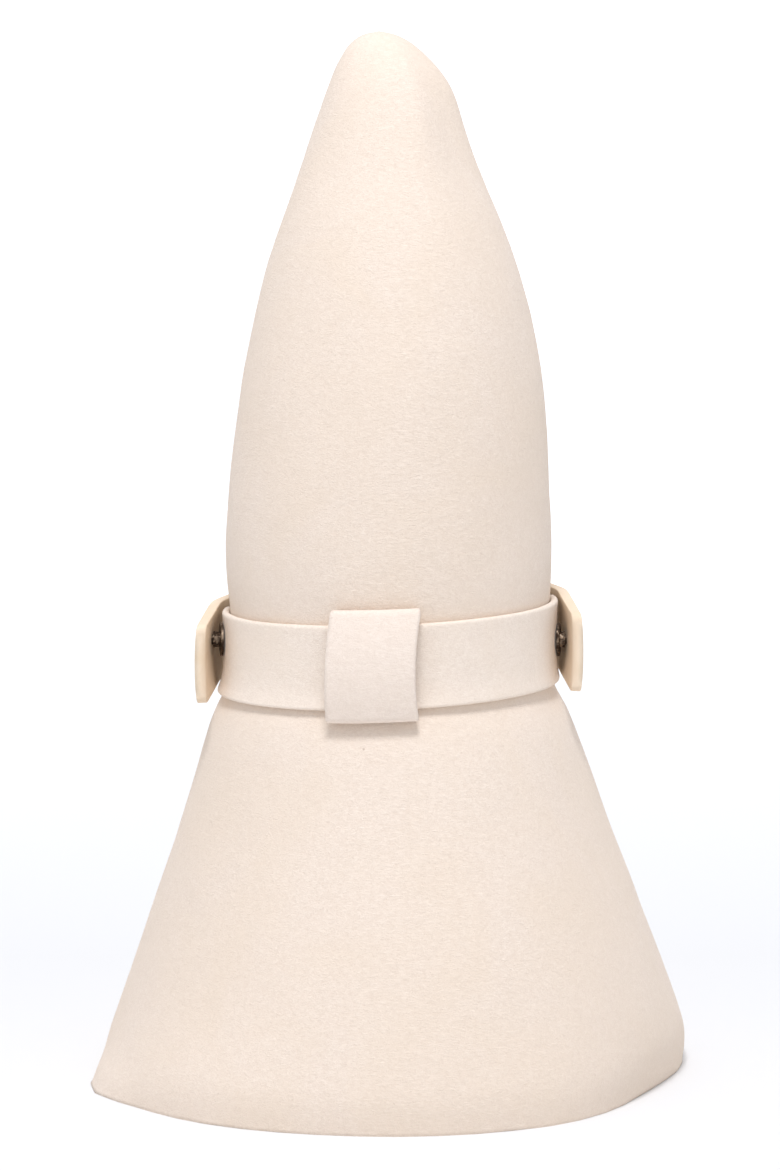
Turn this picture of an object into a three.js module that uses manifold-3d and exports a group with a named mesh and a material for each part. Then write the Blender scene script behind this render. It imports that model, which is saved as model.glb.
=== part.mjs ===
// A tall cone hat of cream white wool felt: one seamless shell with a flared skirt
// brim, a felt belt held by a loop at the back, and a smooth front strap whose square
// ends stand off the belt at both sides on metal posts.
// Millimetres, +Z up. The rim lies on z = 0 and the back, with the loop, faces -Y.
// A bearing is the angle in degrees about Z from +X: -90 is the back, 90 the front.
import * as THREE from 'three';
import { mergeVertices } from 'three/addons/utils/BufferGeometryUtils.js';
import Module from 'manifold-3d';

const wasm = await Module();
wasm.setup();

// Felt body
const HAT_HEIGHT = 418;
const RIM_RADIUS = 119;
const WAIST_RADIUS = 64.2;
const CROWN_RADIUS = 65.8;
const FELT_THICKNESS = 2.6;

// Belt, strap and loop
const BELT_LEVEL = 173;
const BELT_HEIGHT = 33;
const BELT_THICKNESS = 3;
const BELT_ROLL = 2.2;
const BELT_END_PAST_SIDE = 8;
const STRAP_HEIGHT = 31.5;
const STRAP_THICKNESS = 4.2;
const STRAP_RISE = 8.5;
const STRAP_DROP = 0.3;
const STRAP_CUP = 0.8;
const STRAP_EASE_BEARING = 13;
const STRAP_LEAVE_BEARING = 2;
const STRAP_SPLAY = 4.5;
const STRAP_END_LENGTH = 29;
const STRAP_CORNER = 3;
const LOOP_WIDTH = 35.3;
const LOOP_PAST_BELT = 5.3;
const LOOP_HEIGHT = BELT_HEIGHT + 2 * LOOP_PAST_BELT;
const LOOP_THICKNESS = 2.6;
const LOOP_BEARING = -95.4;
const LOOP_RAISE = 1;
const LOOP_BULGE = 3;
const LOOP_LIFT = 2;

// Metal posts
const STUD_SETBACK = 8;
const STUD_RAISE = 2.9;
const BARREL_DIAMETER = 6.5;
const PIN_DIAMETER = 4;
const FLANGE_DIAMETER = 13.4;
const FLANGE_THICKNESS = 1;
const HEAD_DIAMETER = 5.6;
const HEAD_HEIGHT = 1.4;

// Fit: the gap that keeps neighbouring pieces apart, and the play of a pin in its hole
const CLEARANCE = 0.35;
const HOLE_PLAY = 0.4;
const EDGE_ROUNDING = 0.7;

// Fineness of the facets
const STEPS_AROUND = 48;
const SHELL_ROWS = 36;
const BAND_STEP = 5;
const ROUND_SEGMENTS = 16;
const LOOP_STEP = 3;
const LOOP_FOLD_STEPS = 6;

// Sections of the flare, from the rim up to the middle of the belt.
// rise: share of BELT_LEVEL. spread: share of the way from waist radius to rim radius.
// lean: shift of the centre to +X, share of RIM_RADIUS.
const FLARE_SECTIONS = [
  { rise: 0.0, spread: 0.975, lean: 0.027 },
  { rise: 0.035, spread: 0.987, lean: 0.029 },
  { rise: 0.07, spread: 0.985, lean: 0.029 },
  { rise: 0.105, spread: 0.96, lean: 0.029 },
  { rise: 0.155, spread: 0.902, lean: 0.028 },
  { rise: 0.25, spread: 0.795, lean: 0.026 },
  { rise: 0.39, spread: 0.64, lean: 0.023 },
  { rise: 0.535, spread: 0.471, lean: 0.018 },
  { rise: 0.678, spread: 0.316, lean: 0.013 },
  { rise: 0.773, spread: 0.221, lean: 0.008 },
  { rise: 0.838, spread: 0.145, lean: 0.006 },
  { rise: 0.868, spread: 0.098, lean: 0.004 },
  { rise: 0.893, spread: 0.05, lean: 0.003 },
  { rise: 0.92, spread: 0.017, lean: 0.002 },
  { rise: 0.955, spread: 0.003, lean: 0.0 },
];

// Sections of the crown, from the middle of the belt up to the tip.
// rise: share of the height above BELT_LEVEL. girth: share of CROWN_RADIUS, and where
// it says waist, the waist radius takes its place. lean: as above, share of CROWN_RADIUS.
const CROWN_SECTIONS = [
  { rise: 0.0, girth: 'waist', lean: 0.0 },
  { rise: 0.062, girth: 'waist', lean: -0.001 },
  { rise: 0.106, girth: 0.994, lean: -0.006 },
  { rise: 0.171, girth: 1.0, lean: -0.009 },
  { rise: 0.237, girth: 0.987, lean: -0.008 },
  { rise: 0.304, girth: 0.97, lean: 0.0 },
  { rise: 0.402, girth: 0.938, lean: 0.012 },
  { rise: 0.5, girth: 0.875, lean: 0.018 },
  { rise: 0.598, girth: 0.792, lean: 0.016 },
  { rise: 0.695, girth: 0.669, lean: 0.01 },
  { rise: 0.76, girth: 0.571, lean: 0.003 },
  { rise: 0.825, girth: 0.483, lean: 0.0 },
  { rise: 0.889, girth: 0.401, lean: -0.003 },
  { rise: 0.921, girth: 0.35, lean: -0.012 },
  { rise: 0.953, girth: 0.277, lean: -0.03 },
  { rise: 0.978, girth: 0.202, lean: -0.048 },
  { rise: 0.993, girth: 0.12, lean: -0.06 },
  { rise: 1.0, girth: 0.0, lean: -0.066 },
];

// Soft folds and dents of the felt, each a bell in bearing and in height.
// bearing, spread: degrees. level, reach: shares of HAT_HEIGHT. push: outwards, share of
// the radius there.
const FOLDS = [
  { name: 'rim corner at the back left', bearing: -160, spread: 12, level: 0, reach: 0.024, push: 0.088 },
  { name: 'rim drawn out to the back left', bearing: -137, spread: 24, level: 0, reach: 0.07, push: 0.052 },
  { name: 'rim pressed in at the right', bearing: -25, spread: 20, level: 0, reach: 0.05, push: -0.066 },
  { name: 'skirt flattened at the back', bearing: -85, spread: 40, level: 0.01, reach: 0.09, push: -0.022 },
  { name: 'rim drawn out to the front right', bearing: 50, spread: 35, level: 0, reach: 0.12, push: 0.04 },
  { name: 'ridge down the tip', bearing: -68, spread: 11, level: 0.92, reach: 0.07, push: 0.05 },
  { name: 'flat beside the ridge', bearing: -38, spread: 16, level: 0.9, reach: 0.07, push: -0.05 },
  { name: 'shoulder at the right of the tip', bearing: 0, spread: 24, level: 0.953, reach: 0.02, push: 0.04 },
  { name: 'dent below the shoulder', bearing: 2, spread: 22, level: 0.885, reach: 0.03, push: -0.03 },
  { name: 'dent of the back crown', bearing: -112, spread: 26, level: 0.7, reach: 0.1, push: -0.02 },
];

const radians = THREE.MathUtils.degToRad;

// The felt's outline as a curve of points (outer radius, lean, height), rim to tip
function feltOutline() {
  const flare = FLARE_SECTIONS.map((row) => new THREE.Vector3(
    WAIST_RADIUS + row.spread * (RIM_RADIUS - WAIST_RADIUS),
    row.lean * RIM_RADIUS,
    row.rise * BELT_LEVEL,
  ));
  const crown = CROWN_SECTIONS.map((row) => new THREE.Vector3(
    row.girth === 'waist' ? WAIST_RADIUS : row.girth * CROWN_RADIUS,
    row.lean * CROWN_RADIUS,
    BELT_LEVEL + row.rise * (HAT_HEIGHT - BELT_LEVEL),
  ));
  return new THREE.CatmullRomCurve3([...flare, ...crown], false, 'centripetal');
}

const OUTLINE_SAMPLES = feltOutline().getPoints(400);

function bell(share) {
  return Math.exp(-share * share);
}

// Degrees from one bearing to another, the short way round
function turnBetween(bearing, other) {
  return THREE.MathUtils.euclideanModulo(bearing - other + 180, 360) - 180;
}

// Share by which the folds push the felt out at a bearing and a height
function foldPush(bearing, height) {
  return FOLDS.reduce((sum, fold) => {
    const aside = bell(turnBetween(bearing, fold.bearing) / fold.spread);
    const above = bell((height / HAT_HEIGHT - fold.level) / fold.reach);
    return sum + fold.push * aside * above;
  }, 0);
}

// Point of the felt for a row (radius, lean, height) of the outline
function feltPoint(bearing, row) {
  const radius = row.x * (1 + foldPush(bearing, row.z));
  return new THREE.Vector3(
    row.y + radius * Math.cos(radians(bearing)),
    radius * Math.sin(radians(bearing)),
    row.z,
  );
}

// Row (radius, lean, height) of the outer outline at a height
function outlineAt(height) {
  const above = OUTLINE_SAMPLES.findIndex((sample) => sample.z >= height);
  const high = OUTLINE_SAMPLES[Math.max(above, 1)];
  const low = OUTLINE_SAMPLES[Math.max(above, 1) - 1];
  return new THREE.Vector3().lerpVectors(low, high, (height - low.z) / (high.z - low.z));
}

// Outer radius of the felt about its own centre
function feltRadius(bearing, height) {
  return outlineAt(height).x * (1 + foldPush(bearing, height));
}

// Point at a radius about the felt's centre line
function aroundFelt(bearing, radius, height) {
  return new THREE.Vector3(
    outlineAt(height).y + radius * Math.cos(radians(bearing)),
    radius * Math.sin(radians(bearing)),
    height,
  );
}

// Triangle list as a geometry, turned so that its faces point out
function closedGeometry(points, triangles) {
  let volume = 0;
  triangles.forEach(([a, b, c]) => {
    volume += points[a].dot(new THREE.Vector3().crossVectors(points[b], points[c]));
  });
  const index = triangles.flatMap(([a, b, c]) => (volume > 0 ? [a, b, c] : [a, c, b]));
  const geometry = new THREE.BufferGeometry().setFromPoints(points);
  geometry.setIndex(index);
  geometry.computeVertexNormals();
  return geometry;
}

// Two triangles for each quad between two closed loops of the same count
function loopBand(first, second, count) {
  const triangles = [];
  for (let i = 0; i < count; i += 1) {
    const next = (i + 1) % count;
    triangles.push([first + i, first + next, second + next]);
    triangles.push([first + i, second + next, second + i]);
  }
  return triangles;
}

// Felt shell: outer rows from rim to tip, inner rows back down, and the cut edge
function feltShell() {
  const outer = feltOutline().getPoints(SHELL_ROWS);
  const inner = outer.map((row, i) => {
    const before = outer[Math.max(i - 1, 0)];
    const after = outer[Math.min(i + 1, SHELL_ROWS)];
    const along = new THREE.Vector2(after.x - before.x, after.z - before.z).normalize();
    if (i === 0) {
      return new THREE.Vector3(row.x - FELT_THICKNESS / along.y, row.y, row.z);
    }
    if (i === SHELL_ROWS) {
      return new THREE.Vector3(0, row.y, row.z - FELT_THICKNESS);
    }
    return new THREE.Vector3(
      Math.max(row.x - FELT_THICKNESS * along.y, 0),
      row.y,
      row.z + FELT_THICKNESS * along.x,
    );
  });
  const points = [];
  const triangles = [];
  [outer, inner].forEach((rows, wall) => {
    const start = points.length;
    rows.slice(0, -1).forEach((row) => {
      for (let i = 0; i < STEPS_AROUND; i += 1) {
        points.push(feltPoint((360 * i) / STEPS_AROUND, row));
      }
    });
    const tip = points.push(new THREE.Vector3(rows.at(-1).y, 0, rows.at(-1).z)) - 1;
    const side = [];
    for (let r = 0; r < SHELL_ROWS - 1; r += 1) {
      side.push(...loopBand(start + r * STEPS_AROUND, start + (r + 1) * STEPS_AROUND, STEPS_AROUND));
    }
    const last = start + (SHELL_ROWS - 1) * STEPS_AROUND;
    for (let i = 0; i < STEPS_AROUND; i += 1) {
      side.push([last + i, last + ((i + 1) % STEPS_AROUND), tip]);
    }
    triangles.push(...(wall === 0 ? side : side.map(([a, b, c]) => [a, c, b])));
  });
  const innerRim = SHELL_ROWS * STEPS_AROUND + 1;
  triangles.push(...loopBand(innerRim, 0, STEPS_AROUND));
  return closedGeometry(points, triangles);
}

// Solid swept round the hat: outlineOf(bearing) gives its closed section as points
// (radius, height), the same count at each bearing
function sweptBand(bearings, outlineOf) {
  const outlines = bearings.map(outlineOf);
  const count = outlines[0].length;
  const points = outlines.flatMap((outline, i) => (
    outline.map((corner) => aroundFelt(bearings[i], corner.x, corner.y))
  ));
  const triangles = [];
  for (let i = 0; i < bearings.length - 1; i += 1) {
    triangles.push(...loopBand(i * count, (i + 1) * count, count));
  }
  const clockwise = THREE.ShapeUtils.isClockWise(outlines[0]);
  const ends = [{ at: 0, flip: !clockwise }, { at: bearings.length - 1, flip: clockwise }];
  ends.forEach(({ at, flip }) => {
    THREE.ShapeUtils.triangulateShape(outlines[at], []).forEach(([a, b, c]) => {
      const face = flip ? [a, c, b] : [a, b, c];
      triangles.push(face.map((corner) => corner + at * count));
    });
  });
  return closedGeometry(points, triangles);
}

// Section of a strap: points (stand off the inner face, height above its middle)
function strapSection(thickness, height, rounding) {
  const side = height / 2 - rounding;
  const levels = [-side, -side / 2, 0, side / 2, side];
  return [
    ...levels.map((level) => new THREE.Vector2(thickness, level)),
    new THREE.Vector2(thickness - rounding, height / 2),
    new THREE.Vector2(rounding, height / 2),
    ...levels.map((level) => new THREE.Vector2(0, -level)),
    new THREE.Vector2(rounding, -height / 2),
    new THREE.Vector2(thickness - rounding, -height / 2),
  ];
}

// Bearings from one to another in about equal steps
function bearingsBetween(first, last, step) {
  const count = Math.ceil(Math.abs(last - first) / step);
  return Array.from({ length: count + 1 }, (unused, i) => first + ((last - first) * i) / count);
}

// Height of the belt's middle: the belt is rolled a little, its right side higher
function beltMiddle(bearing) {
  const aside = WAIST_RADIUS * Math.cos(radians(bearing));
  return BELT_LEVEL + Math.tan(radians(BELT_ROLL)) * aside;
}

function beltGeometry() {
  const half = 90 + BELT_END_PAST_SIDE;
  const section = strapSection(BELT_THICKNESS, BELT_HEIGHT, EDGE_ROUNDING);
  return sweptBand(bearingsBetween(-90 - half, -90 + half, BAND_STEP), (bearing) => (
    section.map((corner) => {
      const height = beltMiddle(bearing) + corner.y;
      return new THREE.Vector2(feltRadius(bearing, height) + CLEARANCE + corner.x, height);
    })
  ));
}

// Radius of the strap's inner face at the side, over the belt, where its end leaves
const STRAP_LEAVE_RADIUS = WAIST_RADIUS + BELT_THICKNESS + 2 * CLEARANCE;

// Degrees that a strap end covers past the bearing where it leaves the belt
function degreesAlongEnd(length) {
  const out = STRAP_LEAVE_RADIUS + length * Math.sin(radians(STRAP_SPLAY));
  return THREE.MathUtils.radToDeg(Math.atan2(length * Math.cos(radians(STRAP_SPLAY)), out));
}

// Stand of the strap's inner face off the felt, for degrees past the side to the back:
// close to the felt in front, over the belt's end, then straight and splayed outwards
function strapStand(past) {
  const beltEnd = -BELT_END_PAST_SIDE;
  const overlap = THREE.MathUtils.smoothstep(past, beltEnd - STRAP_EASE_BEARING, beltEnd - 1);
  const hug = CLEARANCE + overlap * (BELT_THICKNESS + CLEARANCE);
  const turn = radians(Math.max(past + STRAP_LEAVE_BEARING, 0));
  const straight = 1 / (Math.cos(turn) - Math.sin(turn) * Math.tan(radians(STRAP_SPLAY)));
  return hug + STRAP_LEAVE_RADIUS * (straight - 1);
}

// Height of the strap's middle: it follows the belt's roll and rises to the front
function strapMiddle(bearing) {
  const forward = WAIST_RADIUS * Math.sin(radians(bearing)) + STUD_SETBACK;
  return beltMiddle(bearing) - STRAP_DROP + Math.tan(radians(STRAP_RISE)) * forward;
}

// Radius of the strap's inner face: it is stiff, so it keeps off the felt's widest level
// up to where its end leaves, and it is cupped a little from its lower to its upper edge
function strapInner(bearing, offset) {
  const turn = turnBetween(bearing, 90);
  const past = Math.abs(turn) - 90;
  const touch = 90 + Math.sign(turn) * Math.min(Math.abs(turn), 90 - STRAP_LEAVE_BEARING);
  const low = feltRadius(touch, strapMiddle(touch) - STRAP_HEIGHT / 2);
  const high = feltRadius(touch, strapMiddle(touch) + STRAP_HEIGHT / 2);
  const cup = STRAP_CUP * (1 - ((2 * offset) / STRAP_HEIGHT) ** 2);
  return Math.max(low, high) + strapStand(past) + cup;
}

// Share of the strap's height that is left at a length from its end: rounded corners
function endHeightShare(length) {
  const cut = THREE.MathUtils.clamp(STRAP_CORNER - length, 0, STRAP_CORNER);
  const drop = STRAP_CORNER - Math.sqrt(STRAP_CORNER ** 2 - cut ** 2);
  return 1 - (2 * drop) / STRAP_HEIGHT;
}

function strapGeometry() {
  const section = strapSection(STRAP_THICKNESS, STRAP_HEIGHT, EDGE_ROUNDING);
  const cornerLengths = [1, 0.94, 0.75, 0.4, 0].map((share) => share * STRAP_CORNER);
  const endLengths = cornerLengths.map((inset) => STRAP_END_LENGTH - inset);
  const endPasts = endLengths.map((length) => degreesAlongEnd(length) - STRAP_LEAVE_BEARING);
  const steps = bearingsBetween(-90 - endPasts[0], 90 + endPasts[0], BAND_STEP);
  const firstEnd = endPasts.slice(1).reverse().map((past) => -90 - past);
  const lastEnd = endPasts.slice(1).map((past) => 90 + past);
  const turns = [...firstEnd, ...steps, ...lastEnd];
  return sweptBand(turns.map((turn) => 90 - turn), (bearing) => {
    const past = Math.abs(turnBetween(bearing, 90)) - 90;
    const inset = STRAP_END_LENGTH - lengthAlongEnd(past);
    const share = endHeightShare(inset);
    return section.map((corner) => {
      const offset = corner.y * share;
      return new THREE.Vector2(strapInner(bearing, offset) + corner.x, strapMiddle(bearing) + offset);
    });
  });
}

// Length along a strap end at degrees past the side
function lengthAlongEnd(past) {
  const turn = radians(Math.max(past + STRAP_LEAVE_BEARING, 0));
  const radius = STRAP_LEAVE_RADIUS / (Math.cos(turn) - Math.sin(turn) * Math.tan(radians(STRAP_SPLAY)));
  return (radius * Math.sin(turn)) / Math.cos(radians(STRAP_SPLAY));
}

// Belt loop: a felt strip over the belt, its two ends folded in onto the hat
function loopGeometry() {
  const half = THREE.MathUtils.radToDeg(LOOP_WIDTH / 2 / (WAIST_RADIUS + BELT_THICKNESS + LOOP_THICKNESS));
  const innerFace = BELT_THICKNESS + 2 * CLEARANCE;
  const fold = (innerFace + LOOP_THICKNESS - CLEARANCE) / 2;
  const side = LOOP_HEIGHT / 2 - fold;
  const notch = BELT_HEIGHT / 2 + 2 * CLEARANCE;
  const section = [];
  for (let i = 0; i <= LOOP_FOLD_STEPS; i += 1) {
    const turn = -Math.PI + (Math.PI * i) / LOOP_FOLD_STEPS;
    section.push(new THREE.Vector2(CLEARANCE + fold + fold * Math.cos(turn), -side + fold * Math.sin(turn)));
  }
  for (let i = 1; i < LOOP_FOLD_STEPS; i += 1) {
    const share = (2 * i) / LOOP_FOLD_STEPS - 1;
    const stand = innerFace + LOOP_THICKNESS + LOOP_BULGE * (1 - share * share);
    section.push(new THREE.Vector2(stand, side * share));
  }
  for (let i = 0; i <= LOOP_FOLD_STEPS; i += 1) {
    const turn = (Math.PI * i) / LOOP_FOLD_STEPS;
    section.push(new THREE.Vector2(CLEARANCE + fold + fold * Math.cos(turn), side + fold * Math.sin(turn)));
  }
  section.push(new THREE.Vector2(CLEARANCE, notch));
  section.push(new THREE.Vector2(innerFace, notch));
  section.push(new THREE.Vector2(innerFace, -notch));
  section.push(new THREE.Vector2(CLEARANCE, -notch));
  return sweptBand(bearingsBetween(LOOP_BEARING - half, LOOP_BEARING + half, LOOP_STEP), (bearing) => {
    const middle = beltMiddle(bearing);
    const waist = feltRadius(bearing, middle);
    const swellAt = (height) => Math.max(feltRadius(bearing, height) - waist, 0);
    const lowLift = Math.max(LOOP_LIFT, swellAt(middle - LOOP_HEIGHT / 2));
    const highLift = swellAt(middle + LOOP_HEIGHT / 2 + LOOP_RAISE);
    return section.map((corner) => {
      const raise = Math.abs(corner.y) > notch ? LOOP_RAISE : 0;
      const height = middle + corner.y + raise;
      const up = 0.5 + corner.y / LOOP_HEIGHT;
      return new THREE.Vector2(waist + corner.x + lowLift * (1 - up) + highLift * up, height);
    });
  });
}

// Geometry to solid and back, for cuts and joins
function solidOf(geometry) {
  const bare = geometry.clone();
  bare.deleteAttribute('normal');
  bare.deleteAttribute('uv');
  const merged = mergeVertices(bare);
  return new wasm.Manifold(new wasm.Mesh({
    numProp: 3,
    vertProperties: new Float32Array(merged.attributes.position.array),
    triVerts: new Uint32Array(merged.index.array),
  }));
}

function geometryOf(solid) {
  const mesh = solid.getMesh();
  const geometry = new THREE.BufferGeometry();
  geometry.setAttribute('position', new THREE.BufferAttribute(mesh.vertProperties, 3));
  geometry.setIndex(new THREE.BufferAttribute(mesh.triVerts, 1));
  geometry.computeVertexNormals();
  return geometry;
}

// Turned solid on an axis: profile of points (radius, distance along the axis)
function turnedSolid(profile, start, direction) {
  const geometry = new THREE.LatheGeometry(profile.map(([r, d]) => new THREE.Vector2(r, d)), ROUND_SEGMENTS);
  const turn = new THREE.Quaternion().setFromUnitVectors(new THREE.Vector3(0, 1, 0), direction);
  geometry.applyQuaternion(turn);
  geometry.translate(start.x, start.y, start.z);
  return solidOf(geometry);
}

function rod(diameter, start, direction, length) {
  const radius = diameter / 2;
  return turnedSolid([[0, 0], [radius, 0], [radius, length], [0, length]], start, direction);
}

// Places of a post: side is 1 at the right and -1 at the left. The belt point lies on
// the belt's outer face and the strap point on the strap's inner face, straight aside.
function studPlaces(side) {
  const height = BELT_LEVEL + STUD_RAISE;
  const bearingOf = (past) => (side > 0 ? -past : past - 180);
  const pastAt = (radius) => THREE.MathUtils.radToDeg(Math.asin(STUD_SETBACK / radius));
  const beltOuter = (bearing) => feltRadius(bearing, height) + CLEARANCE + BELT_THICKNESS;
  const strapRadius = (bearing) => strapInner(bearing, height - strapMiddle(bearing));
  const pointAt = (past, radiusOf) => (
    aroundFelt(bearingOf(past), radiusOf(bearingOf(past)), height)
  );
  const normalAt = (past) => new THREE.Vector3(side * Math.cos(radians(past)), -Math.sin(radians(past)), 0);
  const beltPast = pastAt(WAIST_RADIUS + CLEARANCE + BELT_THICKNESS);
  const strapPast = pastAt(strapRadius(bearingOf(beltPast)));
  return {
    beltPoint: pointAt(beltPast, beltOuter),
    beltNormal: normalAt(beltPast),
    strapPoint: pointAt(strapPast, strapRadius),
    strapNormal: normalAt(-STRAP_LEAVE_BEARING - STRAP_SPLAY),
  };
}

// Post: pin in the belt, flange on the belt, barrel as spacer, pin through the strap
// and a low domed head outside, all one turned and joined piece
function studGeometry(side) {
  const { beltPoint, beltNormal, strapPoint, strapNormal } = studPlaces(side);
  const flangeFoot = beltPoint.clone().addScaledVector(beltNormal, CLEARANCE);
  const pinFoot = beltPoint.clone().addScaledVector(beltNormal, -BELT_THICKNESS);
  const flangeRadius = FLANGE_DIAMETER / 2;
  const flange = turnedSolid([
    [0, 0],
    [flangeRadius, 0],
    [flangeRadius, FLANGE_THICKNESS / 2],
    [flangeRadius - FLANGE_THICKNESS / 2, FLANGE_THICKNESS],
    [0, FLANGE_THICKNESS],
  ], flangeFoot, beltNormal);
  const pinIn = rod(PIN_DIAMETER, pinFoot, beltNormal, BELT_THICKNESS + CLEARANCE + FLANGE_THICKNESS);
  const shoulder = CLEARANCE + (BARREL_DIAMETER / 2) * Math.tan(radians(STRAP_SPLAY));
  const barrelEnd = strapPoint.clone().addScaledVector(strapNormal, -shoulder);
  const barrelFoot = flangeFoot.clone().addScaledVector(beltNormal, FLANGE_THICKNESS / 2);
  const along = barrelEnd.clone().sub(barrelFoot);
  const barrel = rod(BARREL_DIAMETER, barrelFoot, along.clone().normalize(), along.length());
  const headFoot = STRAP_THICKNESS + CLEARANCE;
  const pinStart = barrelEnd.clone().addScaledVector(strapNormal, -1);
  const pinOut = rod(PIN_DIAMETER, pinStart, strapNormal, 1 + shoulder + headFoot + HEAD_HEIGHT / 2);
  const headRadius = HEAD_DIAMETER / 2;
  const dome = [1, 0.92, 0.7, 0.38].map((share) => (
    [headRadius * share, HEAD_HEIGHT * (0.3 + 0.7 * Math.sqrt(1 - share * share))]
  ));
  const head = turnedSolid(
    [[0, 0], [headRadius, 0], ...dome, [0, HEAD_HEIGHT]],
    strapPoint.clone().addScaledVector(strapNormal, headFoot),
    strapNormal,
  );
  return geometryOf(pinIn.add(flange).add(barrel).add(pinOut).add(head));
}

// Holes for the two posts, through the belt or through the strap
function withStudHoles(geometry, placeName, normalName) {
  const reach = 3 * STRAP_THICKNESS;
  const drilled = [1, -1].reduce((solid, side) => {
    const places = studPlaces(side);
    const start = places[placeName].clone().addScaledVector(places[normalName], -reach);
    return solid.subtract(rod(PIN_DIAMETER + 2 * HOLE_PLAY, start, places[normalName], 2 * reach));
  }, solidOf(geometry));
  return geometryOf(drilled);
}

function felt(colour) {
  return new THREE.MeshStandardMaterial({ color: colour, roughness: 0.95, metalness: 0 });
}

const FELT = felt('#f6e8da');
const BELT_FELT = felt('#f2e2d5');
const LOOP_FELT = felt('#f8ece1');
const SMOOTH_STRAP = new THREE.MeshStandardMaterial({ color: '#ecdcc2', roughness: 0.6, metalness: 0 });
const DARK_METAL = new THREE.MeshStandardMaterial({ color: '#8a7868', roughness: 0.4, metalness: 1 });

function named(name, geometry, material) {
  const mesh = new THREE.Mesh(geometry, material);
  mesh.name = name;
  return mesh;
}

const hat = new THREE.Group();
hat.add(named('felt_cone', feltShell(), FELT));
hat.add(named('belt_back', withStudHoles(beltGeometry(), 'beltPoint', 'beltNormal'), BELT_FELT));
hat.add(named('strap_front', withStudHoles(strapGeometry(), 'strapPoint', 'strapNormal'), SMOOTH_STRAP));
hat.add(named('belt_loop', loopGeometry(), LOOP_FELT));
hat.add(named('stud_right', studGeometry(1), DARK_METAL));
hat.add(named('stud_left', studGeometry(-1), DARK_METAL));

// The frame's origin is under the middle of the hat, on the surface it rests on
const middle = new THREE.Box3().setFromObject(hat).getCenter(new THREE.Vector3());
hat.position.set(-middle.x, -middle.y, 0);

export default hat;
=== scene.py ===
"""A tall cone hat of cream white felt, seen from its back, on a pale studio floor.

+Z is up. The rim lies on z = 0 and the back, with the belt loop, faces -Y.
Lengths are in metres, and the named angles in degrees. A bearing is the angle
about Z from +X: -90 is the back, 90 the front.
"""

import math

import bmesh
import bpy
from mathutils import Matrix, Vector, noise
from mathutils.bvhtree import BVHTree


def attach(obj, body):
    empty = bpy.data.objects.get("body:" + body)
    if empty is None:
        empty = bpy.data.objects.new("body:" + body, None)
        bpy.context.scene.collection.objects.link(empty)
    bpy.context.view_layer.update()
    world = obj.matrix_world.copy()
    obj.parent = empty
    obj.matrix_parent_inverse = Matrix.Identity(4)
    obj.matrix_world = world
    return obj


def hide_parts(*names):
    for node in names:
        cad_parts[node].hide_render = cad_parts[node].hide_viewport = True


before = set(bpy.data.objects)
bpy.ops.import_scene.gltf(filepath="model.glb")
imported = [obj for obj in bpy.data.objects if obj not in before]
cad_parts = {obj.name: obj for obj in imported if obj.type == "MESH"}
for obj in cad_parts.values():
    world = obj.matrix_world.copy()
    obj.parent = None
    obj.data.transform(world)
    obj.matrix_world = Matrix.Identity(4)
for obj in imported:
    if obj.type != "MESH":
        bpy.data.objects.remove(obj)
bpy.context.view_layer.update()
MM = 0.001

# The hat's centre line at the waist, off the frame's origin
AXIS_X = -0.53 * MM
AXIS_Y = -1.8 * MM

# The photograph's camera: its picture size and focal length in pixels, and its place
PHOTO_WIDTH = 780
FOCAL_PIXELS = 3870
CAMERA_DISTANCE = 1.548
CAMERA_HEIGHT = 0.387
CAMERA_PITCH = 7.0
SENSOR_WIDTH = 36.0

# The belt's height above the rim, its cut size and how far it rolls to one side
BELT_LEVEL = 173 * MM
BELT_ROLL = 2.2
BELT_HEIGHT = 33 * MM
BELT_THICKNESS = 3.0 * MM
BELT_END_PAST_SIDE = 8.0

# The front strap: its cut size, its rise to the front, and its ends that stand off
STRAP_HEIGHT = 31.5 * MM
STRAP_THICKNESS = 4.2 * MM
STRAP_RISE = 8.5
STRAP_DROP = 0.3 * MM
STRAP_CUP = 0.8 * MM
STRAP_EASE_BEARING = 13.0
STRAP_SETTLE_BEARING = 1.0
STRAP_LEAVE_BEARING = 2.0
STRAP_SPLAY = 4.5
STRAP_END_LENGTH = 29 * MM
STRAP_CORNER = 3.0 * MM

# How far the posts stand behind the hat's sides
POST_SETBACK = 8 * MM

# The loop at the back: its folded size, its place, and how far it bulges and slants
LOOP_WIDTH = 36.8 * MM
LOOP_HEIGHT = 43.6 * MM
LOOP_THICKNESS = 2.5 * MM
LOOP_BEARING = -94.8
LOOP_RAISE = 1.0 * MM
LOOP_BULGE = 3.0 * MM
LOOP_LIFT = 2.0 * MM
LOOP_BOWING = 0.12
LOOP_FOOT = 4.0 * MM
LOOP_WAISTING = 2.6 * MM
LOOP_WAISTING_MIDDLE = 0.45
LOOP_SKEW = 1.0 * MM

CLEARANCE = 0.35 * MM
WAIST_RADIUS = 64.2 * MM

# Distances below which points count as one
SAME_POINT = 0.001 * MM
CUT_TOLERANCE = 1e-7
SAME_PLACE = 1e-9


def smoothstep(low, high, value):
    share = min(max((value - low) / (high - low), 0.0), 1.0)
    return share * share * (3 - 2 * share)


def direction(bearing):
    """Level unit vector that points along a bearing."""
    turn = math.radians(bearing)
    return Vector((math.cos(turn), math.sin(turn), 0.0))


def point_at(bearing, radius, height):
    """Point round the hat's centre line."""
    return Vector((AXIS_X, AXIS_Y, height)) + radius * direction(bearing)


def new_piece(name, bm, material):
    """Smooth shaded object at the origin from a bmesh, with its material."""
    mesh = bpy.data.meshes.new(name)
    bm.to_mesh(mesh)
    bm.free()
    mesh.shade_smooth()
    piece = bpy.data.objects.new(name, mesh)
    bpy.context.scene.collection.objects.link(piece)
    piece.data.materials.append(material)
    return piece


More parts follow.
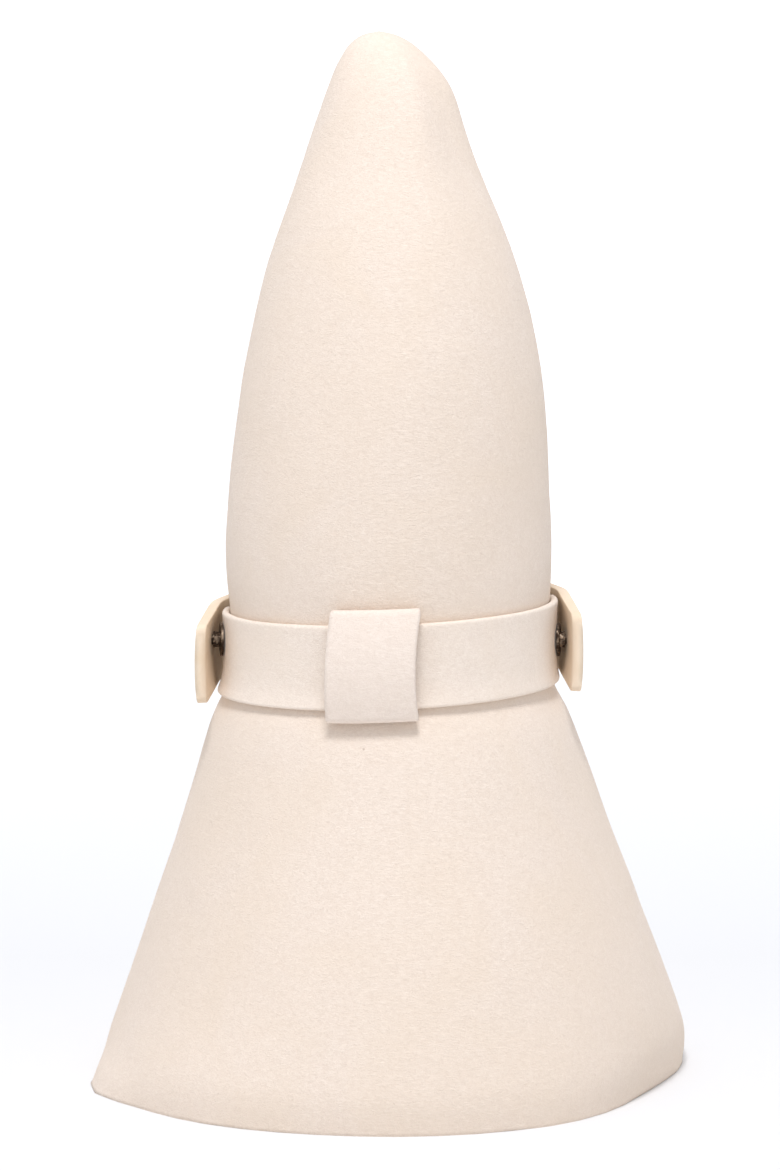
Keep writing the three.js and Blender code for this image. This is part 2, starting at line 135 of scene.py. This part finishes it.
def applied(piece):
    """Turns a piece's modifiers into its own mesh."""
    graph = bpy.context.evaluated_depsgraph_get()
    mesh = bpy.data.meshes.new_from_object(piece.evaluated_get(graph))
    piece.modifiers.clear()
    old = piece.data
    piece.data = mesh
    bpy.data.meshes.remove(old)
    mesh.name = piece.name


# Materials: pattern scales are repeats in a metre, colours are linear

FLECK_BROWN = (0.3, 0.2, 0.13)
FLECK_STRENGTH = 0.6
WARM_STRENGTH = 0.45
SHEEN_TINT = (1.0, 0.95, 0.9, 1.0)
STRAP_SHADE = (0.82, 0.665, 0.49)
STRAP_LIGHT = (0.88, 0.735, 0.575)
METAL_DARK = (0.07, 0.045, 0.03)
METAL_RUBBED = (0.34, 0.26, 0.19)
FLOOR_TONE = (0.84, 0.84, 0.84, 1.0)
FLOOR_GLOW = (1.0, 1.0, 1.0, 1.0)
GLOW_STRENGTH = 0.45
GLOW_STARTS = 0.2
GLOW_FULL = 1.6

# Fibres that lie in one direction: repeats along and across them, and their tilt
FIBRE_SETS = (
    (330, 2100, (0, 90, 8)),
    (300, 2300, (80, 35, 50)),
    (360, 1900, (-50, 75, 20)),
)


def node_tree(name):
    material = bpy.data.materials.new(name)
    material.use_nodes = True
    tree = material.node_tree
    return material, tree, tree.nodes["Principled BSDF"]


def add_node(tree, kind, inputs=None, **settings):
    node = tree.nodes.new(kind)
    for key, value in settings.items():
        setattr(node, key, value)
    for key, value in (inputs or {}).items():
        if isinstance(value, bpy.types.NodeSocket):
            tree.links.new(value, node.inputs[key])
        else:
            node.inputs[key].default_value = value
    return node


def object_coordinates(tree):
    return add_node(tree, "ShaderNodeTexCoord").outputs["Object"]


def noise_factor(tree, place, scale, detail=3.0, roughness=0.55, distortion=0.0):
    node = add_node(tree, "ShaderNodeTexNoise", {
        "Vector": place,
        "Scale": scale,
        "Detail": detail,
        "Roughness": roughness,
        "Distortion": distortion,
    })
    return node.outputs["Fac"]


def remapped(tree, value, low, high, to_low=0.0, to_high=1.0):
    node = add_node(tree, "ShaderNodeMapRange", {
        "Value": value,
        "From Min": low,
        "From Max": high,
        "To Min": to_low,
        "To Max": to_high,
    })
    return node.outputs["Result"]


def mixed_colour(tree, factor, first, second):
    """Colour between two: the mix node's sockets 6 and 7 are its colours, and so is output 2."""
    node = add_node(tree, "ShaderNodeMix", data_type="RGBA")
    for socket, value in ((node.inputs[0], factor), (node.inputs[6], first), (node.inputs[7], second)):
        if isinstance(value, bpy.types.NodeSocket):
            tree.links.new(value, socket)
        elif isinstance(value, (int, float)):
            socket.default_value = value
        else:
            socket.default_value = (*value, 1.0)
    return node.outputs[2]


def calculated(tree, operation, first, second):
    node = add_node(tree, "ShaderNodeMath", {0: first, 1: second}, operation=operation)
    return node.outputs[0]


def bump_normal(tree, heights):
    """Chain of bumps from (height socket, distance in metres, strength)."""
    normal = None
    for height, distance, strength in heights:
        inputs = {"Height": height, "Distance": distance, "Strength": strength}
        if normal is not None:
            inputs["Normal"] = normal
        normal = add_node(tree, "ShaderNodeBump", inputs).outputs["Normal"]
    return normal


def fibre_height(tree, place):
    """Wool fibres pressed into the surface: fine streaks that lie in several directions."""
    highest = None
    for along, across, tilt in FIBRE_SETS:
        turned_place = add_node(tree, "ShaderNodeVectorRotate", {
            "Vector": place,
            "Rotation": [math.radians(angle) for angle in tilt],
        }, rotation_type="EULER_XYZ").outputs["Vector"]
        drawn_place = add_node(tree, "ShaderNodeMapping", {
            "Vector": turned_place,
            "Scale": (across, across, along),
        }).outputs["Vector"]
        streaks = noise_factor(tree, drawn_place, 1.0, detail=2.0, roughness=0.6, distortion=0.6)
        highest = streaks if highest is None else calculated(tree, "MAXIMUM", highest, streaks)
    return highest


def felt_material(name, light, shade, warm, nap=1.0):
    """Wool felt: clumped mottling, broad tone changes, rare dark flecks and a fine nap."""
    material, tree, shader = node_tree(name)
    place = object_coordinates(tree)
    fibres = fibre_height(tree, place)
    threads = remapped(tree, fibres, 0.5, 0.7, 0.0, 0.65)
    lumps = noise_factor(tree, place, 480, 5.0, 0.7, 0.6)
    clumps = calculated(tree, "ADD", remapped(tree, lumps, 0.36, 0.64, 0.0, 0.4), threads)
    broad = remapped(tree, noise_factor(tree, place, 22, 3.0, 0.5, 0.8), 0.35, 0.7)
    colour = mixed_colour(tree, clumps, shade, light)
    colour = mixed_colour(tree, calculated(tree, "MULTIPLY", broad, WARM_STRENGTH), colour, warm)
    cells = add_node(tree, "ShaderNodeTexVoronoi", {"Vector": place, "Scale": 75.0})
    chosen = remapped(tree, noise_factor(tree, place, 31, 1.0), 0.66, 0.68)
    near = remapped(tree, cells.outputs["Distance"], 0.05, 0.02)
    fleck = calculated(tree, "MULTIPLY", calculated(tree, "MULTIPLY", near, chosen), FLECK_STRENGTH)
    colour = mixed_colour(tree, fleck, colour, FLECK_BROWN)
    tree.links.new(colour, shader.inputs["Base Color"])
    shader.inputs["Roughness"].default_value = 0.95
    shader.inputs["Specular IOR Level"].default_value = 0.15
    shader.inputs["Sheen Weight"].default_value = 0.18
    shader.inputs["Sheen Roughness"].default_value = 0.6
    shader.inputs["Sheen Tint"].default_value = SHEEN_TINT
    normal = bump_normal(tree, (
        (lumps, 0.6 * MM, 0.5 * nap),
        (fibres, 0.45 * MM, 0.75 * nap),
    ))
    tree.links.new(normal, shader.inputs["Normal"])
    return material


def strap_material(name):
    """Smooth ivory strap: soft mottling, fine grain and a faint gloss."""
    material, tree, shader = node_tree(name)
    place = object_coordinates(tree)
    patches = remapped(tree, noise_factor(tree, place, 90, 4.0, 0.6, 0.5), 0.3, 0.7)
    colour = mixed_colour(tree, patches, STRAP_SHADE, STRAP_LIGHT)
    tree.links.new(colour, shader.inputs["Base Color"])
    shader.inputs["Roughness"].default_value = 0.62
    shader.inputs["Specular IOR Level"].default_value = 0.3
    grain = noise_factor(tree, place, 1600, 4.0, 0.65)
    waves = noise_factor(tree, place, 140, 2.0)
    normal = bump_normal(tree, ((waves, 0.4 * MM, 0.3), (grain, 0.08 * MM, 0.5)))
    tree.links.new(normal, shader.inputs["Normal"])
    return material


def metal_material(name):
    """Aged dark metal: brown, with brighter rubbed patches at random."""
    material, tree, shader = node_tree(name)
    place = object_coordinates(tree)
    wear = remapped(tree, noise_factor(tree, place, 420, 5.0, 0.7, 0.8), 0.48, 0.6)
    colour = mixed_colour(tree, wear, METAL_DARK, METAL_RUBBED)
    tree.links.new(colour, shader.inputs["Base Color"])
    tree.links.new(remapped(tree, wear, 0.0, 1.0, 0.75, 0.5), shader.inputs["Roughness"])
    shader.inputs["Metallic"].default_value = 1.0
    pits = noise_factor(tree, place, 900, 4.0, 0.7)
    tree.links.new(bump_normal(tree, ((pits, 0.15 * MM, 0.5),)), shader.inputs["Normal"])
    return material


def floor_material():
    """Pale floor that glows a little more with its distance behind the hat."""
    material, tree, shader = node_tree("studio_floor")
    shader.inputs["Base Color"].default_value = FLOOR_TONE
    shader.inputs["Roughness"].default_value = 0.9
    shader.inputs["Emission Color"].default_value = FLOOR_GLOW
    depth = add_node(tree, "ShaderNodeSeparateXYZ", {"Vector": object_coordinates(tree)}).outputs["Y"]
    glow = remapped(tree, depth, GLOW_STARTS, GLOW_FULL, 0.0, GLOW_STRENGTH)
    tree.links.new(glow, shader.inputs["Emission Strength"])
    return material


# Felt body

FELT_SUBDIVISIONS = 2
FELT_MERGE = 0.02 * MM
QUAD_ANGLE = 60
RIM_CREASE = 0.55
RIM_LEVEL = 0.1 * MM
SWELL_HEIGHT = 0.35 * MM
SWELL_SIZE = 26 * MM
DIMPLE_HEIGHT = 0.1 * MM
DIMPLE_SIZE = 6 * MM
DIMPLE_SHIFT = Vector((7.0, 3.0, 5.0))
CUT_PIECE_UNEVENNESS = 0.35
RAY_START = 0.4


def uneven(piece, rough):
    """Moves the points of a felt piece a little along their normals."""
    normals = [vertex.normal.copy() for vertex in piece.data.vertices]
    places = []
    for vertex, normal in zip(piece.data.vertices, normals):
        swell = noise.noise(vertex.co / SWELL_SIZE)
        dimple = noise.noise(vertex.co / DIMPLE_SIZE + DIMPLE_SHIFT)
        places.extend(vertex.co + normal * rough * (SWELL_HEIGHT * swell + DIMPLE_HEIGHT * dimple))
    piece.data.vertices.foreach_set("co", places)
    piece.data.update()


def felt_cone(material):
    """The seamless felt shell, smoothed from the frame's own shell."""
    bm = bmesh.new()
    bm.from_mesh(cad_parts["felt_cone"].data)
    bmesh.ops.remove_doubles(bm, verts=bm.verts, dist=FELT_MERGE)
    widest = math.radians(QUAD_ANGLE)
    bmesh.ops.join_triangles(
        bm, faces=bm.faces, angle_face_threshold=widest, angle_shape_threshold=widest,
    )
    crease = bm.edges.layers.float.new("crease_edge")
    for edge in bm.edges:
        if all(vertex.co.z < RIM_LEVEL for vertex in edge.verts):
            edge[crease] = RIM_CREASE
    piece = new_piece("felt_body", bm, material)
    smooth = piece.modifiers.new("smooth", "SUBSURF")
    smooth.levels = FELT_SUBDIVISIONS
    smooth.render_levels = FELT_SUBDIVISIONS
    applied(piece)
    uneven(piece, 1.0)
    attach(piece, "root")
    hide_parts("felt_cone")
    return piece


def surface_tree(piece):
    """Tree of a piece's faces, for casting rays at it."""
    bm = bmesh.new()
    bm.from_mesh(piece.data)
    tree = BVHTree.FromBMesh(bm)
    bm.free()
    return tree


def felt_radius(tree, bearing, height):
    """Radius of the felt's outer face about the waist's centre."""
    distance = tree.ray_cast(point_at(bearing, RAY_START, height), -direction(bearing))[3]
    return RAY_START - distance


# Strips that are cut flat and laid round the hat

STRIP_STEP = (2.5 * MM, 3.0 * MM)


def diced(bm, axis, low, high, step):
    """Cuts a flat piece by planes across one axis, so that it can bend."""
    count = max(int(math.ceil((high - low) / step)), 1)
    normal = Vector((0.0, 0.0, 0.0))
    normal[axis] = 1.0
    for i in range(1, count):
        geometry = bm.verts[:] + bm.edges[:] + bm.faces[:]
        place = normal * (low + (high - low) * i / count)
        bmesh.ops.bisect_plane(bm, geom=geometry, dist=CUT_TOLERANCE, plane_co=place, plane_no=normal)


def flat_strip(length, height, thickness, rounding, corner=0.0, step=STRIP_STEP):
    """Plate in XZ, centred, its inner face on y = 0 and its outer face at y = thickness."""
    bm = bmesh.new()
    bmesh.ops.create_grid(bm, x_segments=1, y_segments=1, size=0.5)
    bmesh.ops.scale(bm, verts=bm.verts, vec=(length, height, 1.0))
    if corner:
        bmesh.ops.bevel(
            bm, geom=bm.verts[:], offset=corner, offset_type="OFFSET", segments=5,
            profile=0.5, affect="VERTICES", material=-1,
        )
    bmesh.ops.rotate(bm, verts=bm.verts, matrix=Matrix.Rotation(math.radians(90), 3, "X"))
    grown = bmesh.ops.extrude_face_region(bm, geom=bm.faces[:])
    bmesh.ops.translate(
        bm, verts=[item for item in grown["geom"] if isinstance(item, bmesh.types.BMVert)],
        vec=(0.0, thickness, 0.0),
    )
    bmesh.ops.recalc_face_normals(bm, faces=bm.faces)
    outline = [edge for edge in bm.edges if abs(edge.verts[0].co.y - edge.verts[1].co.y) < SAME_PLACE]
    bmesh.ops.bevel(
        bm, geom=outline, offset=rounding, offset_type="OFFSET", segments=4,
        profile=0.5, affect="EDGES", material=-1, clamp_overlap=True,
    )
    diced(bm, 0, -length / 2, length / 2, step[0])
    diced(bm, 2, -height / 2, height / 2, step[1])
    return bm


def belt_middle(bearing):
    """Height of the belt's middle: its right side sits a little higher."""
    aside = WAIST_RADIUS * math.cos(math.radians(bearing))
    return BELT_LEVEL + math.tan(math.radians(BELT_ROLL)) * aside


def laid_round(bm, bearing_of, inner_of, middle_of):
    """Wraps a flat strip round the felt: x runs round, y stands off, z runs up."""
    for vertex in bm.verts:
        bearing = bearing_of(vertex.co.x)
        height = middle_of(bearing) + vertex.co.z
        radius = inner_of(bearing, vertex.co.z) + vertex.co.y
        vertex.co = point_at(bearing, radius, height)
    bmesh.ops.recalc_face_normals(bm, faces=bm.faces)


BELT_ROUNDING = 1.3 * MM


def belt_back(tree, material):
    """Belt round the back, from under one strap end to under the other."""
    half_turn = 90 + BELT_END_PAST_SIDE
    radius = WAIST_RADIUS + CLEARANCE + BELT_THICKNESS / 2
    length = 2 * math.radians(half_turn) * radius
    bm = flat_strip(length, BELT_HEIGHT, BELT_THICKNESS, BELT_ROUNDING)

    def inner(bearing, offset):
        return felt_radius(tree, bearing, belt_middle(bearing) + offset) + CLEARANCE

    laid_round(bm, lambda x: -90 + math.degrees(x / radius), inner, belt_middle)
    piece = new_piece("belt", bm, material)
    uneven(piece, CUT_PIECE_UNEVENNESS)
    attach(piece, "root")
    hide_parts("belt_back")


STRAP_LEAVE_RADIUS = WAIST_RADIUS + BELT_THICKNESS + 2 * CLEARANCE
STRAP_ROUNDING = 0.5 * MM


def turn_from_front(bearing):
    """Degrees from the front, from -180 to 180."""
    return (bearing - 90 + 180) % 360 - 180


def strap_stand(bearing):
    """Stand of the strap off the felt: close in front, over the belt, then splayed."""
    past = abs(turn_from_front(bearing)) - 90
    eased = -BELT_END_PAST_SIDE - STRAP_EASE_BEARING
    overlap = smoothstep(eased, -BELT_END_PAST_SIDE - STRAP_SETTLE_BEARING, past)
    hug = CLEARANCE + overlap * (BELT_THICKNESS + CLEARANCE)
    turn = math.radians(max(past + STRAP_LEAVE_BEARING, 0))
    straight = 1 / (math.cos(turn) - math.sin(turn) * math.tan(math.radians(STRAP_SPLAY)))
    return hug + STRAP_LEAVE_RADIUS * (straight - 1)


def strap_middle(bearing):
    """Height of the strap's middle, which rises to the front."""
    forward = WAIST_RADIUS * math.sin(math.radians(bearing)) + POST_SETBACK
    return belt_middle(bearing) - STRAP_DROP + math.tan(math.radians(STRAP_RISE)) * forward


def strap_inner(tree, bearing, offset):
    """Radius of the stiff strap's inner face, cupped from its lower to its upper edge."""
    turn = turn_from_front(bearing)
    touch = 90 + math.copysign(min(abs(turn), 90 - STRAP_LEAVE_BEARING), turn)
    middle = strap_middle(touch)
    edges = (felt_radius(tree, touch, middle + side * STRAP_HEIGHT / 2) for side in (-1, 1))
    cup = STRAP_CUP * (1 - (2 * offset / STRAP_HEIGHT) ** 2)
    return max(edges) + strap_stand(bearing) + cup


def strap_front(tree, material):
    """Front strap, with straight ends that stand off the belt."""
    round_turn = 90 - STRAP_LEAVE_BEARING
    round_length = math.radians(round_turn) * STRAP_LEAVE_RADIUS
    length = 2 * (round_length + STRAP_END_LENGTH)
    splay = math.radians(STRAP_SPLAY)

    def bearing_of(x):
        run = abs(x)
        if run <= round_length:
            turn = math.degrees(run / STRAP_LEAVE_RADIUS)
        else:
            along = run - round_length
            out = STRAP_LEAVE_RADIUS + along * math.sin(splay)
            turn = round_turn + math.degrees(math.atan2(along * math.cos(splay), out))
        return 90 + math.copysign(turn, x)

    bm = flat_strip(length, STRAP_HEIGHT, STRAP_THICKNESS, STRAP_ROUNDING, corner=STRAP_CORNER)
    laid_round(bm, bearing_of, lambda bearing, offset: strap_inner(tree, bearing, offset), strap_middle)
    piece = new_piece("front_strap", bm, material)
    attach(piece, "root")
    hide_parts("strap_front")


# The loop's middle line: how far its inner and outer runs stand off the felt, the
# radius and length of the fold between them, and half the height of the outer run
LOOP_INNER = CLEARANCE + LOOP_THICKNESS / 2
LOOP_OUTER = 2 * CLEARANCE + BELT_THICKNESS + LOOP_THICKNESS / 2
LOOP_FOLD = (LOOP_OUTER - LOOP_INNER) / 2
LOOP_FOLD_LENGTH = math.pi * LOOP_FOLD
LOOP_SIDE = LOOP_HEIGHT / 2 - LOOP_FOLD - LOOP_THICKNESS / 2
LOOP_ROUNDING = 0.9 * MM
LOOP_STEP = (1.5 * MM, 0.7 * MM)


def loop_path(run):
    """Point (stand, height) and outward normal on the loop's folded middle line."""
    up = math.copysign(1.0, run)
    run = abs(run)
    if run <= LOOP_SIDE:
        share = run / LOOP_SIDE
        bulge = LOOP_BULGE * (1 - share * share)
        return LOOP_OUTER + bulge, up * run, Vector((1.0, up * LOOP_BOWING * share))
    if run <= LOOP_SIDE + LOOP_FOLD_LENGTH:
        turn = (run - LOOP_SIDE) / LOOP_FOLD
        stand = LOOP_INNER + LOOP_FOLD + LOOP_FOLD * math.cos(turn)
        height = LOOP_SIDE + LOOP_FOLD * math.sin(turn)
        return stand, up * height, Vector((math.cos(turn), up * math.sin(turn)))
    return LOOP_INNER, up * (LOOP_SIDE - (run - LOOP_SIDE - LOOP_FOLD_LENGTH)), Vector((-1.0, 0.0))


def loop_across(x, up):
    """Place across the loop: its right edge is drawn in, its left foot is skewed."""
    aside = x / (LOOP_WIDTH / 2)
    across = x - LOOP_SKEW * (1 - up) * max(-aside, 0.0)
    drawn_in = 1 - (2 * (up - LOOP_WAISTING_MIDDLE)) ** 2
    return across - LOOP_WAISTING * max(aside, 0.0) * max(drawn_in, 0.0)


def loop_lean(tree, bearing, waist, up):
    """How far the felt's swell above and below the waist pushes the loop out."""
    middle = belt_middle(bearing)
    low_swell = felt_radius(tree, bearing, middle - LOOP_HEIGHT / 2) - waist
    high_swell = felt_radius(tree, bearing, middle + LOOP_HEIGHT / 2 + LOOP_RAISE) - waist
    return max(LOOP_LIFT, low_swell) * (1 - up) + max(high_swell, 0.0) * up


def belt_loop(tree, material):
    """Loop: a felt strip over the belt, its ends folded in onto the hat."""
    length = 2 * (LOOP_SIDE + LOOP_FOLD_LENGTH + LOOP_FOOT)
    bm = flat_strip(LOOP_WIDTH, length, LOOP_THICKNESS, LOOP_ROUNDING, step=LOOP_STEP)
    for vertex in bm.verts:
        stand, height, normal = loop_path(vertex.co.z)
        normal.normalize()
        offset = vertex.co.y - LOOP_THICKNESS / 2
        stand += offset * normal.x
        height += offset * normal.y
        up = 0.5 + height / LOOP_HEIGHT
        reach = WAIST_RADIUS + LOOP_OUTER + offset + LOOP_BULGE + LOOP_LIFT * (1 - up)
        bearing = LOOP_BEARING + math.degrees(loop_across(vertex.co.x, up) / reach)
        middle = belt_middle(bearing)
        waist = felt_radius(tree, bearing, middle)
        radius = waist + stand + loop_lean(tree, bearing, waist, up)
        vertex.co = point_at(bearing, radius, middle + height + LOOP_RAISE)
    bmesh.ops.recalc_face_normals(bm, faces=bm.faces)
    piece = new_piece("back_loop", bm, material)
    uneven(piece, CUT_PIECE_UNEVENNESS)
    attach(piece, "root")
    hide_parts("belt_loop")


# Metal posts: a washer on the belt, a barrel up to the strap, and a head outside it

POST_RAISE = 2.9 * MM
BARREL_RADIUS = 3.25 * MM
PIN_RADIUS = 2.0 * MM
WASHER_RADIUS = 6.7 * MM
WASHER_THICKNESS = 1.0 * MM
HEAD_RADIUS = 2.8 * MM
HEAD_HEIGHT = 1.4 * MM
HEAD_SKIRT_SHARE = 0.3
HEAD_STEPS = 6
HEAD_SINK = 1.0 * MM
SOFTENING = 0.25 * MM
SOFTENING_STEPS = 3
TURNED_STEPS = 48
POST_SHARP_ANGLE = 35

# The barrel from washer to strap: radius as a share of its own, place as a share of its run
BARREL_PROFILE = ((1.12, 0.0), (1.12, 0.14), (0.94, 0.2), (0.94, 0.8), (1.0, 0.88), (1.0, 1.0))


def turned(bm, profile, start, axis):
    """Adds a solid turned round an axis: profile of (radius, distance along it)."""
    earlier = set(bm.verts)
    points = [bm.verts.new((radius, 0.0, along)) for radius, along in profile]
    edges = [bm.edges.new(pair) for pair in zip(points, points[1:])]
    bmesh.ops.spin(
        bm, geom=points + edges, cent=(0.0, 0.0, 0.0), axis=(0.0, 0.0, 1.0),
        angle=math.tau, steps=TURNED_STEPS, use_merge=True,
    )
    turn = Vector((0.0, 0.0, 1.0)).rotation_difference(axis)
    for point in bm.verts:
        if point not in earlier:
            point.co = start + turn @ point.co


def rounded_rim(radius, height):
    """Profile points of a rounded upper corner."""
    turns = [math.pi / 2 * i / SOFTENING_STEPS for i in range(SOFTENING_STEPS + 1)]
    return [
        (radius - SOFTENING * (1 - math.cos(turn)), height - SOFTENING * (1 - math.sin(turn)))
        for turn in turns
    ]


def post_bearing(side, past):
    """Bearing of a place that lies past the side by some degrees, towards the back."""
    return -past if side > 0 else past - 180


def post_normal(side, past):
    """Outward direction at such a place."""
    turn = math.radians(past)
    return Vector((side * math.cos(turn), -math.sin(turn), 0.0))


def setback_past(radius):
    """Degrees past the side at which the posts stand, on a circle of this radius."""
    return math.degrees(math.asin(POST_SETBACK / radius))


def washer_profile():
    rim = rounded_rim(WASHER_RADIUS, WASHER_THICKNESS)
    return [(0.0, 0.0), (WASHER_RADIUS, 0.0), *rim, (0.0, WASHER_THICKNESS)]


def pin_profile():
    return [(0.0, 0.0), (PIN_RADIUS, 0.0), (PIN_RADIUS, BELT_THICKNESS), (0.0, BELT_THICKNESS)]


def barrel_profile(run):
    sides = [(BARREL_RADIUS * radius, run * place) for radius, place in BARREL_PROFILE]
    return [(0.0, 0.0), *sides, (0.0, run)]


def head_profile(through):
    """The pin through the strap, and the low dome of its head outside."""
    profile = [(0.0, -HEAD_SINK), (PIN_RADIUS, -HEAD_SINK), (PIN_RADIUS, through), (HEAD_RADIUS, through)]
    for i in range(HEAD_STEPS + 1):
        turn = math.pi / 2 * i / HEAD_STEPS
        rise = HEAD_SKIRT_SHARE + (1 - HEAD_SKIRT_SHARE) * math.sin(turn)
        profile.append((HEAD_RADIUS * math.cos(turn), through + HEAD_HEIGHT * rise))
    return profile


def post(tree, material, side):
    """Post: washer on the belt, barrel as spacer, and a low domed head outside."""
    height = BELT_LEVEL + POST_RAISE

    def strap_radius(bearing):
        return strap_inner(tree, bearing, height - strap_middle(bearing))

    belt_past = setback_past(WAIST_RADIUS + CLEARANCE + BELT_THICKNESS)
    belt_bearing = post_bearing(side, belt_past)
    strap_bearing = post_bearing(side, setback_past(strap_radius(belt_bearing)))
    belt_outer = felt_radius(tree, belt_bearing, height) + CLEARANCE + BELT_THICKNESS
    foot = point_at(belt_bearing, belt_outer + CLEARANCE, height)
    out = post_normal(side, belt_past)
    strap_out = post_normal(side, -STRAP_LEAVE_BEARING - STRAP_SPLAY)
    shoulder = CLEARANCE + BARREL_RADIUS * math.tan(math.radians(STRAP_SPLAY))
    end = point_at(strap_bearing, strap_radius(strap_bearing), height) - strap_out * shoulder
    barrel = end - foot
    bm = bmesh.new()
    turned(bm, washer_profile(), foot, out)
    turned(bm, pin_profile(), foot - out * (BELT_THICKNESS - CLEARANCE), out)
    turned(bm, barrel_profile(barrel.length), foot, barrel.normalized())
    turned(bm, head_profile(shoulder + STRAP_THICKNESS + CLEARANCE), end, strap_out)
    bmesh.ops.remove_doubles(bm, verts=bm.verts, dist=SAME_POINT)
    bmesh.ops.recalc_face_normals(bm, faces=bm.faces)
    name = "right" if side > 0 else "left"
    piece = new_piece("post_" + name, bm, material)
    piece.data.set_sharp_from_angle(angle=math.radians(POST_SHARP_ANGLE))
    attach(piece, "root")
    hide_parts("stud_" + name)


# Studio

FLOOR_HALF_WIDTH = 5.0
FLOOR_FRONT = -5.0
FLOOR_BACK = 6.0
BACKDROP_BEND = 1.2
BACKDROP_BEND_STEPS = 16
BACKDROP_HEIGHT = 2.5
SOFT_LIGHT_COLOUR = (0.985, 1.0, 1.05, 1.0)
SOFT_LIGHT_STRENGTH = 0.7
KEY_PLACE = (-0.05, -0.88, 2.2)
KEY_SIZE = 0.65
KEY_POWER = 30.0
KEY_COLOUR = (0.985, 1.0, 1.04)
KEY_AIM = Vector((0.0, 0.0, 0.2))
VIEW_FAR = 50.0


def studio_floor():
    """Floor that bends up into a plain backdrop behind the hat."""
    profile = [(FLOOR_FRONT, 0.0), (0.0, 0.0), (FLOOR_BACK, 0.0)]
    for i in range(1, BACKDROP_BEND_STEPS + 1):
        turn = math.pi / 2 * i / BACKDROP_BEND_STEPS
        behind = FLOOR_BACK + BACKDROP_BEND * math.sin(turn)
        profile.append((behind, BACKDROP_BEND * (1 - math.cos(turn))))
    profile.append((FLOOR_BACK + BACKDROP_BEND, BACKDROP_HEIGHT))
    bm = bmesh.new()
    rows = [
        [bm.verts.new((side * FLOOR_HALF_WIDTH, y, z)) for side in (-1, 1)]
        for y, z in profile
    ]
    for near, far in zip(rows, rows[1:]):
        bm.faces.new((near[0], near[1], far[1], far[0]))
    floor = new_piece("studio_floor", bm, floor_material())


def key_light():
    """Round soft light high above the back of the hat."""
    data = bpy.data.lights.new("key", "AREA")
    data.shape = "DISK"
    data.size = KEY_SIZE
    data.energy = KEY_POWER
    data.color = KEY_COLOUR
    light = bpy.data.objects.new("key", data)
    light.location = KEY_PLACE
    light.rotation_euler = (KEY_AIM - Vector(KEY_PLACE)).to_track_quat("-Z", "Y").to_euler()
    bpy.context.scene.collection.objects.link(light)


def soft_light():
    """Even light from all round."""
    world = bpy.data.worlds.new("studio")
    world.use_nodes = True
    background = world.node_tree.nodes["Background"]
    background.inputs["Color"].default_value = SOFT_LIGHT_COLOUR
    background.inputs["Strength"].default_value = SOFT_LIGHT_STRENGTH
    bpy.context.scene.world = world


def photo_camera():
    """Camera at the photograph's own place, level across and pitched down."""
    data = bpy.data.cameras.new("photo_camera")
    data.sensor_fit = "HORIZONTAL"
    data.sensor_width = SENSOR_WIDTH
    data.lens = SENSOR_WIDTH * FOCAL_PIXELS / PHOTO_WIDTH
    data.clip_end = VIEW_FAR
    camera = bpy.data.objects.new("photo_camera", data)
    camera.location = (AXIS_X, AXIS_Y - CAMERA_DISTANCE, CAMERA_HEIGHT)
    camera.rotation_euler = (math.radians(90 - CAMERA_PITCH), 0.0, 0.0)
    bpy.context.scene.collection.objects.link(camera)
    bpy.context.scene.camera = camera


photo_camera()
soft_light()
key_light()
studio_floor()
bpy.context.scene.view_settings.view_transform = "Standard"

FELT = felt_material(
    "cream_felt", light=(0.92, 0.8, 0.69), shade=(0.81, 0.68, 0.57), warm=(0.84, 0.7, 0.56),
)
BELT_FELT = felt_material(
    "belt_felt", light=(0.96, 0.85, 0.745), shade=(0.83, 0.71, 0.605), warm=(0.88, 0.745, 0.61), nap=0.8,
)
LOOP_FELT = felt_material(
    "loop_felt", light=(0.93, 0.82, 0.725), shade=(0.81, 0.69, 0.595), warm=(0.86, 0.73, 0.62), nap=0.75,
)
STRAP = strap_material("ivory_strap")
METAL = metal_material("aged_metal")

body = felt_cone(FELT)
felt_tree = surface_tree(body)
belt_back(felt_tree, BELT_FELT)
strap_front(felt_tree, STRAP)
belt_loop(felt_tree, LOOP_FELT)
for post_side in (-1, 1):
    post(felt_tree, METAL, post_side)
